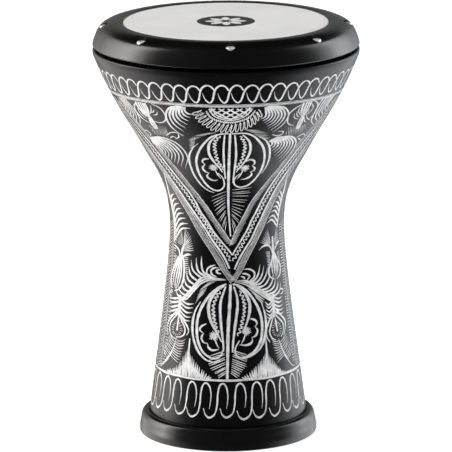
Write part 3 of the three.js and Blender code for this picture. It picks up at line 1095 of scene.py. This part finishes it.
def cutFlanks():
    # feathers, tulips and plumes on the waist, outside the V
    fan(
        [
            [(-69.5, 255), (-68, 240), (-66, 213)], [(-65.6, 261), (-59.4, 244.6), (-54.4, 226.6)],
            [(-59.4, 264.4), (-50, 246.8), (-41.6, 229.6)],
        ],
        8, 2.5, (1, 0.12),
    )
    lines(3.6, [(-61, 290), (-67, 274), (-71, 258), (-69.6, 240), (-67, 210)], ends=(0.1, 0.6))
    lines(2.6, [(-68, 262), (-66.5, 236), (-65, 214)], ends=(0.2, 0.3))
    fan(
        [
            [(61.4, 259), (60, 244), (58, 228)], [(58, 263.8), (54.2, 250), (48.6, 236.6)],
            [(54, 267.4), (47.6, 248.6), (41, 233.4)],
        ],
        7, 2.4, (1, 0.12),
    )
    lines(3.6, [(56, 286), (61, 272), (62.6, 262), (61.4, 246), (59, 226)], ends=(0.1, 0.5))
    # left tulip
    lines(3.6, [(-49.4, 212.5), (-51.6, 206), (-53.6, 198)], ends=(0.45, 0.9))
    fan(
        [[(-50.4, 214), (-49.8, 209), (-49, 204.5)], [(-48.4, 229), (-41, 222), (-36.6, 206.5)]], 11, 0.95,
        (0.7, 0.4),
    )
    fan([[(-51.4, 212), (-54, 209.5)], [(-55, 228), (-66.5, 213)]], 7, 0.65, (0.7, 0.3))
    lines(
        2.6, [(-68, 207), (-61, 205.6), (-57, 202.4), (-55.4, 197)],
        [(-39.6, 201.6), (-45, 201), (-51, 197.6)], ends=(0.1, 0.9),
    )
    lines(
        3.0, [(-53.6, 200), (-58, 195), (-62, 188), (-66.6, 179), (-68.4, 170), (-65.4, 162.6)],
        [(-53, 200), (-49.6, 195), (-48.2, 186), (-47.8, 177), (-49.4, 169), (-53.4, 162.8), (-60, 159.6)],
        ends=(0.9, 0.45),
    )
    comb([(-48.4, 197), (-46.4, 182)], [(-43, 198), (-41.8, 181)], 9, 0.95)
    comb([(-59.4, 196), (-63.4, 183)], [(-64.6, 197), (-67.6, 184)], 8, 0.95)
    leaf(
        [(-55.4, 198), (-61.4, 182), (-63, 171), (-58.6, 161.4)],
        [(-52.4, 198), (-51.8, 182), (-53.4, 171), (-57.4, 161.4)], 4, 2.4,
    )
    # right tulip
    lines(4.2, [(49.8, 218.5), (50, 209), (50.2, 197)], ends=(0.5, 0.9))
    fan([[(46.6, 212), (44, 209.6)], [(42.6, 228), (33, 215)]], 8, 0.75, (0.6, 0.4))
    fan([[(52.6, 212), (54, 209)], [(57, 228), (64.6, 214)]], 7, 0.75, (0.6, 0.4))
    lines(
        2.3, [(31, 206.8), (36, 210), (42, 210.4), (46.4, 207), (48.6, 201)],
        [(51.6, 203), (55.6, 208), (61, 211.4)], ends=(0.12, 0.9),
    )
    comb([(44.6, 202.5), (45, 189)], [(38.8, 203.5), (40.4, 188)], 10, 0.95)
    comb([(56, 200), (57.4, 189)], [(60.6, 201), (61.6, 190)], 8, 0.8)
    lines(
        2.6, [(49.4, 201), (46.4, 192), (42.2, 185.6), (41.4, 180.6), (43.6, 176), (48.4, 173)],
        [(51, 201), (55.6, 193), (59.6, 187), (60, 181), (57.4, 175.6), (52, 172.8)], ends=(0.9, 0.45),
    )
    leaf(
        [(48.6, 199), (46.8, 190), (46.6, 182), (48.6, 174.4)],
        [(53, 199), (55.2, 190), (55.4, 182), (53.4, 174.4)], 4, 2.1,
    )
    # left plume
    fan(
        [
            [(-18, 181.6), (-27, 178.5), (-34, 167), (-43, 154)],
            [(-25.2, 185), (-35.4, 184.4), (-42.4, 168.6), (-51, 154.6)],
            [(-27.6, 192), (-38, 190), (-45.6, 170.6), (-55, 156.6)],
            [(-28, 202), (-39.4, 197.5), (-48.6, 174.5), (-58.4, 160.6)],
        ],
        9, 2.3, (1, 0.12),
    )
    for drop, width in ((0, 2.1), (-2.9, 2.0), (-5.8, 1.9)):
        lines(
            width,
            [
                (-3, 178.6 + drop * 0.2), (-12, 179.6 + drop * 0.35), (-20, 181 + drop * 0.7),
                (-28, 178 + drop), (-35, 169.5 + drop), (-42, 160.5 + drop), (-50, 152),
            ],
            ends=(0.1, 0.8),
        )
    lines(
        2.3, [(-13.5, 193.6), (-19.4, 191), (-22, 187), (-21.4, 182.6)],
        [(-9.6, 190.4), (-14.4, 190.4), (-17.8, 187.4), (-16.4, 183), (-12.4, 181.4)],
        [(-8, 189), (-12.4, 187.6), (-11, 185), (-8, 184.4)], ends=(0.2, 0.5),
    )
    comb(
        [(-13, 176), (-20, 171.6), (-24, 163)], [(-21.6, 174), (-29, 165), (-32.6, 151)], 9, 0.7, -0.06,
        (0.5, 0.3),
    )
    # right plume
    fan(
        [
            [(14, 176), (22, 171), (32, 162), (40, 156)], [(22, 175), (31, 171.5), (42, 163), (50, 156.6)],
            [(28, 180.5), (37, 179), (48, 167), (56, 160.6)],
            [(31.4, 191.5), (40, 188), (50.6, 175), (58, 168)],
        ],
        8, 2.3, (1, 0.12),
    )
    for drop, width in ((0, 2.2), (-2.6, 2.2), (2.6, 2.0)):
        lines(
            width,
            [
                (6, 176 + drop * 0.3), (13, 175 + drop * 0.7), (20, 172 + drop), (28, 164.5 + drop),
                (37, 157.5 + drop), (45, 150 + drop * 0.5),
            ],
            ends=(0.15, 0.8),
        )
    lines(
        2.3, [(13.5, 188.4), (20, 188), (24.8, 184), (24, 179), (20, 176)],
        [(12, 184.2), (17, 183), (19.8, 180.2), (17, 177.2)], [(11, 181), (14, 180), (14.6, 178)],
        ends=(0.2, 0.5),
    )
    lines(
        1.3, [(15.6, 171.6), (25, 164), (34, 156.4)], [(17.6, 168), (26, 160.4), (33.4, 154)],
        [(21, 163.4), (27.4, 157.4), (32.4, 151.6)], [(24, 159), (28.4, 154.4), (31.4, 150)],
        ends=(0.3, 0.8),
    )
    # feathers below the plumes
    fan(
        [[(-50, 153), (-50, 138)], [(-41, 149.6), (-42.4, 131.8)], [(-33.4, 151), (-36.4, 132)]], 5, 2.3,
        (1, 0.12),
    )
    fan(
        [[(-51, 154), (-51.6, 138)], [(-60, 151.4), (-59, 134)], [(-67.4, 151), (-65, 131)]], 5, 2.3,
        (1, 0.12),
    )
    lines(4.6, [(-50.6, 157), (-50.6, 146), (-50.2, 133)], ends=(0.8, 0.5))
    fan(
        [[(44.6, 155), (44.6, 139)], [(51.4, 151.6), (52, 135)], [(58, 152.6), (58, 136)]], 5, 2.3,
        (1, 0.12),
    )
    fan([[(43.6, 152), (43.8, 138)], [(38.4, 148), (39, 133)], [(34, 152), (34.6, 136)]], 5, 2.1, (1, 0.12))
    lines(4.4, [(44.4, 158), (44.2, 146), (44, 134)], ends=(0.8, 0.5))
    lines(
        1.5, [(-62, 157.6), (-66.6, 158), (-68, 154.4), (-65, 151.6)],
        [(52, 158.6), (58, 160.8), (61, 158.8), (58.4, 155.6), (53.6, 156.4)],
    )
    cutEye(
        [
            [(-52, 141), (-59, 133.5), (-65, 125.5), (-66.6, 118), (-63, 112.6)],
            [(-50, 139), (-44, 131.6), (-39, 125.4), (-37.6, 120.6), (-39.6, 116.6)],
        ],
        [
            [(-51.6, 137), (-57.4, 130.6), (-61.4, 124), (-61, 116.4), (-56.6, 111.4), (-51.4, 110.4)],
            [(-50, 137), (-46, 130.4), (-42, 124), (-41.8, 118), (-45.4, 114), (-51.6, 112.4)],
        ],
        [(-50.4, 136), (-50.6, 128), (-51, 119.4)],
        [
            (-51.4, 131), (-57, 125.4), (-58.6, 120), (-56.4, 115), (-51.4, 113.4), (-46.6, 115.4),
            (-44.2, 120), (-45.4, 125), (-49.6, 131),
        ],
        [
            (-51.4, 127.6), (-54.4, 124), (-55.4, 120), (-54, 116.8), (-51.4, 115.8), (-48.8, 117),
            (-47.4, 120), (-48.2, 123.6), (-49.8, 127.6),
        ],
    )
    cutEye(
        [
            [(47, 141), (53, 133.6), (58.2, 127), (57.6, 120), (54, 112.6)],
            [(41.4, 138), (36.2, 129), (33.2, 121), (33.6, 114), (36.4, 108.6)],
        ],
        [
            [(44.4, 137), (50, 130.4), (54.6, 124), (53.6, 116), (49.6, 111.6)],
            [(43, 136), (39.2, 127), (36.8, 119.6), (38.6, 113), (43, 109.6)],
        ],
        [(44.4, 134), (45, 127), (46, 118)],
        [
            (44, 131), (40, 125), (39, 119.4), (41, 114.4), (46, 112), (50.4, 114.4), (52, 119),
            (51, 124.4), (46.6, 130),
        ],
        [
            (44.6, 127.6), (42.4, 123), (42, 119), (43.4, 116), (46, 114.8), (48.4, 116.2), (49.2, 119),
            (48.4, 122.8), (46.2, 127),
        ],
    )
    # stalks down to the foot border
    lines(
        1.7, [(-50.8, 112), (-53, 102), (-58, 91.6), (-66, 81), (-72, 78)],
        [(-51.6, 108), (-55, 96), (-61, 85), (-69.4, 76.4)],
        [(46.4, 110), (49, 100), (53.4, 89), (60, 79.6), (65.6, 75.8)],
        [(47.4, 106), (51.4, 94.6), (57.4, 83), (63, 76)],
    )
    for curves in (
        [[(-51, 110), (-56.4, 92)], [(-45.6, 109), (-49.6, 88)], [(-40, 112), (-45.6, 86)]],
        [[(-52.4, 107), (-60, 88)], [(-57.6, 110), (-66, 92)], [(-61, 116), (-71, 98)]],
        [[(46.4, 108), (51.6, 92)], [(42, 108), (46.4, 89)], [(37.6, 112), (42.6, 86)]],
        [[(47.4, 106), (55.6, 86)], [(52.6, 109), (61, 90)], [(56.4, 115), (66, 96)]],
    ):
        fan(curves, 9, 1.05, (0.8, 0.35))


def cutPyramid(base, steps, core, coreSteps, spire):
    # a stepped pyramid of upright cuts standing on the foot border
    comb(base, steps, 25, 1.75, 0.0, (1, 0.15), 0.2)
    comb(core, coreSteps, 14, 2.0, 0.0, (1, 0.3), 0.2)
    lines(2.4, spire, ends=(1, 0.5))


def cutLowerPod():
    lines(3.4, [(1, 173), (0, 150), (-1.5, 125), (-2, 100), (-2.5, 74)], ends=(0.8, 0.8))
    lines(
        2.7, [(-3.5, 171), (-7.5, 158), (-8.5, 147), (-7.6, 130), (-5.8, 112), (-5.5, 103)],
        [(4, 171), (6.6, 161), (7.2, 151), (6, 140), (4, 125), (2.6, 112), (2, 102)], ends=(0.6, 0.6),
    )
    cutPod(
        -1,
        [
            (-3, 173.5), (-10, 170), (-18, 162), (-25, 150), (-28.8, 138), (-29.6, 126), (-28, 113),
            (-23, 101.5), (-16, 96), (-11, 95.5), (-7.5, 99), (-6, 105),
        ],
        [
            (-27, 154), (-32, 143.5), (-34, 132), (-33.4, 120), (-30, 107.5), (-25, 98.5), (-19, 93),
            (-12, 91.6), (-8, 94),
        ],
        [(-5, 171.5), (-12, 166), (-18, 156), (-19.2, 146), (-17, 135), (-12, 124), (-7, 113)],
        [(-9, 166), (-13, 157), (-15, 148), (-14, 138), (-12, 128), (-9, 119)],
        [
            [(-20.5, 131.5), (-25, 128.4), (-26.7, 124.4), (-23, 121)],
            [(-23, 121), (-24.8, 116), (-22.4, 111.4), (-19, 111)],
            [(-19, 111), (-18.4, 107), (-15, 104), (-9.5, 105)],
        ],
        (-14, 119),
        3.0,
    )
    cutPod(
        1,
        [
            (3, 173.5), (10, 171), (18, 163), (25, 150.5), (28.8, 138), (29.4, 125), (27, 112), (21, 102),
            (14, 97), (9, 96), (5, 99), (4.4, 106), (8, 114),
        ],
        [(30, 153), (33, 140.5), (33.6, 128), (31.2, 115), (27, 105.5), (20, 98.6), (12, 94.6)],
        [(7, 172), (14.6, 163), (18.3, 153), (18, 143), (15, 132), (11, 122)],
        [(9, 166), (12.6, 158), (13.4, 148), (12, 138), (9.6, 128), (7, 119)],
        [
            [(17.5, 136.5), (22.6, 134.4), (24.6, 130.4), (22.4, 127.4)],
            [(22.4, 127.4), (24.7, 123), (22.6, 117.8), (19, 116.4)],
            [(19, 116.4), (19.2, 112), (15, 109), (8, 109.6)],
        ],
        (14.5, 123.5),
        3.0,
    )
    comb(
        [(-5, 104), (-4, 92), (-3.4, 80)], [(-17.6, 98), (-17, 86), (-9, 75)], 11, 1.05, 0.0, (0.6, 0.5),
        0.25,
    )
    comb(
        [(2.4, 104), (1.6, 92), (0.4, 80)], [(13.4, 99), (13.6, 87), (5.4, 75)], 12, 0.95, 0.0, (0.6, 0.5),
        0.25,
    )
    cutPyramid(
        [(-55, 73.5), (-36, 74), (-18, 73.5)],
        [
            (-59, 76), (-50, 80.5), (-45, 86), (-41, 94), (-37.6, 101), (-36, 101), (-34, 97.5), (-31, 93),
            (-27, 88), (-22, 82), (-15, 75.5),
        ],
        [(-50, 74), (-36, 78), (-22, 74)], [(-47, 78), (-36, 92), (-25, 79)],
        [(-36, 80), (-36.2, 98), (-35.8, 114)],
    )
    cutPyramid(
        [(12, 73.5), (31, 74), (49, 73.5)],
        [
            (9, 75.5), (16, 81), (22, 86.5), (27, 92), (30.5, 98.5), (32, 101), (33.5, 98), (37, 92),
            (41, 84.5), (46, 77.5), (51, 74.5),
        ],
        [(18, 74), (32, 78), (45, 74)], [(20, 78), (32, 92), (42, 79)],
        [(32, 80), (32.2, 98), (32, 113)],
    )


def bothSides(*points):
    # the same curve on the left and on the right of the column's middle
    return [[(90 + side * a, z) for a, z in points] for side in (-1, 1)]


def cutSeam():
    # the column between the two faces: ruled edges, wavy lines and herringbone
    for edge in bothSides((18.5, 232), (18.5, 150), (18.2, 75)):
        lines(0.9, edge, ends=(0.6, 0.9))
    for roots, tips in zip(bothSides((27, 228), (26.6, 82)), bothSides((22.4, 228), (22, 82))):
        comb(roots, tips, 50, 0.95, 0.0, (0.8, 0.6))
    for edge in bothSides((21, 230), (20.6, 150), (20.4, 76)):
        lines(1.1, edge, ends=(0.7, 0.9))
    for roots, tips in zip(bothSides((17, 232), (17, 78)), bothSides((11, 228), (11, 74))):
        comb(roots, tips, 50, 0.8)
    for middle in bothSides((8.5, 230), (8.5, 75)):
        wave(middle, 5.0, 1.6, 1.3)
    lines(2.4, [(90, 236), (90, 75)], ends=(0.5, 0.9))
    left, right = zip(bothSides((0.8, 226), (0.8, 84)), bothSides((6, 236), (6, 92)))
    comb(*left, 26, 1.6, -0.1)
    comb(*right, 26, 1.6, 0.1)


def cutPalm():
    # a palm leaf on the bell above the column
    lines(2.4, [(90, 340), (90, 300), (90, 244)], ends=(0.4, 0.8))
    tips = bothSides((6, 350), (12, 330), (18, 300), (14, 262))
    left, right = zip(bothSides((0.6, 330), (0.6, 250)), tips)
    comb(*left, 17, 2.4, 0.12, (1, 0.12))
    comb(*right, 17, 2.4, -0.12, (1, 0.12))
    burst((90, 240), 1.5, 7, 16, 1.6)


def layCuts(name, marks):
    # all the cuts of one group as a single strip, parted where one cut ends and the next begins
    columns = sum(len(line) for line in marks)
    shape = bmesh.new()
    bmesh.ops.create_grid(shape, x_segments=columns - 1, y_segments=2, size=1)
    shape.verts.ensure_lookup_table()
    rise, levels = cutSettings["stagger"]
    breaks, lengths, column = set(), [], 0
    for number, line in enumerate(marks):
        lift = cutSettings["lift"] + rise * (number % levels)
        run = 0.0
        for i, (turn, height, width) in enumerate(line):
            course = flatStep(line[max(i - 1, 0)], line[min(i + 1, len(line) - 1)])
            course = course.normalized() if course.length > 1e-6 else Vector((1, 0))
            wide, tall = flatScale(height)
            for row in range(3):
                offset = (row - 1) * width / 2
                a = math.radians(turn - course.y * offset / wide)
                z = height + course.x * offset / tall
                reach = (reachAt(z) + lift - (cutSettings["valley"] if row == 1 else 0)) * mm
                spot = (reach * math.sin(a), -reach * math.cos(a), z * mm)
                shape.verts[row * columns + column].co = spot
            lengths.append(run)
            if i + 1 < len(line):
                run += flatStep((turn, height), line[i + 1]).length
            column += 1
        breaks.add(column - 1)
    weave = shape.loops.layers.uv.new("cut")
    gaps = []
    for face in shape.faces:
        if min(vert.index % columns for vert in face.verts) in breaks:
            gaps.append(face)
            continue
        for loop in face.loops:
            row, place = divmod(loop.vert.index, columns)
            loop[weave].uv = (row / 2, lengths[place])
    bmesh.ops.delete(shape, geom=gaps, context="FACES")
    flipped = []
    for face in shape.faces:
        centre = face.calc_center_median()
        if face.normal.dot(Vector((centre.x, centre.y, 0))) < 0:
            flipped.append(face)
    bmesh.ops.reverse_faces(shape, faces=flipped)
    return asPiece(shape, name, "shell", ["cut"], (), 60)


pattern = (
    # what is cut, the piece it belongs to, how hard the graver is pressed
    (cutBorders, "borders", 0.72),
    (cutBands, "bands", 1),
    (cutCrown, "flowers", 0.77),
    (cutUpperPod, "flowers", 0.97),
    (cutFlanks, "flowers", 0.88),
    (cutLowerPod, "flowers", 1),
    (cutSeam, "bands", 0.9),
    (cutPalm, "flowers", 0.9),
)
for facing in (0, 180):
    for cutPart, group, weight in pattern:
        cutSettings.update(group=group, weight=weight)
        cutPart()
pieceNames = {"borders": "engravedBorders", "bands": "engravedBands", "flowers": "engravedFlowers"}
for group, name in pieceNames.items():
    piece = layCuts(name, cuts[group])
    print(name, len(cuts[group]), "cuts,", len(piece.data.polygons), "faces")

# badge on the film

badge = {
    "radius": 30.5, "height": 441.06, "edge": 0.3, "crown": 0.03, "sunk": 0.04,
    "petals": 8, "start": 5, "petal": (17.0, 8.5), "petalLift": 0.06, "pinch": 0.6,
}


def petalOn(shape, turn, settings):
    long, wide = settings["petal"]
    made = bmesh.ops.create_circle(shape, cap_ends=True, segments=24, radius=1.0)
    for vert in made["verts"]:
        share = (vert.co.y + 1) / 2
        pinch = math.sin(math.pi * share) ** settings["pinch"] if 0 < share < 1 else 0
        x = math.copysign(pinch, vert.co.x) * wide * 0.5 * mm if abs(vert.co.x) > 1e-4 else 0
        vert.co = (
            x, (settings["start"] + share * long) * mm, (settings["height"] + settings["petalLift"]) * mm,
        )
    bmesh.ops.rotate(shape, cent=(0, 0, 0), matrix=Matrix.Rotation(turn, 3, "Z"), verts=made["verts"])


rim, level = badge["radius"], badge["height"]
top, under = level + badge["crown"], level - badge["sunk"]
disc = lathe([(0, top), (rim - badge["edge"], top), (rim, level), (rim, under), (0, under)], 96)
asPiece(disc, "badgeDisc", "shell", ["ink"])
rosette = bmesh.new()
for i in range(badge["petals"]):
    petalOn(rosette, math.tau * i / badge["petals"], badge)
asPiece(rosette, "badgeRosette", "shell", ["inkLight"])
print("badge done")
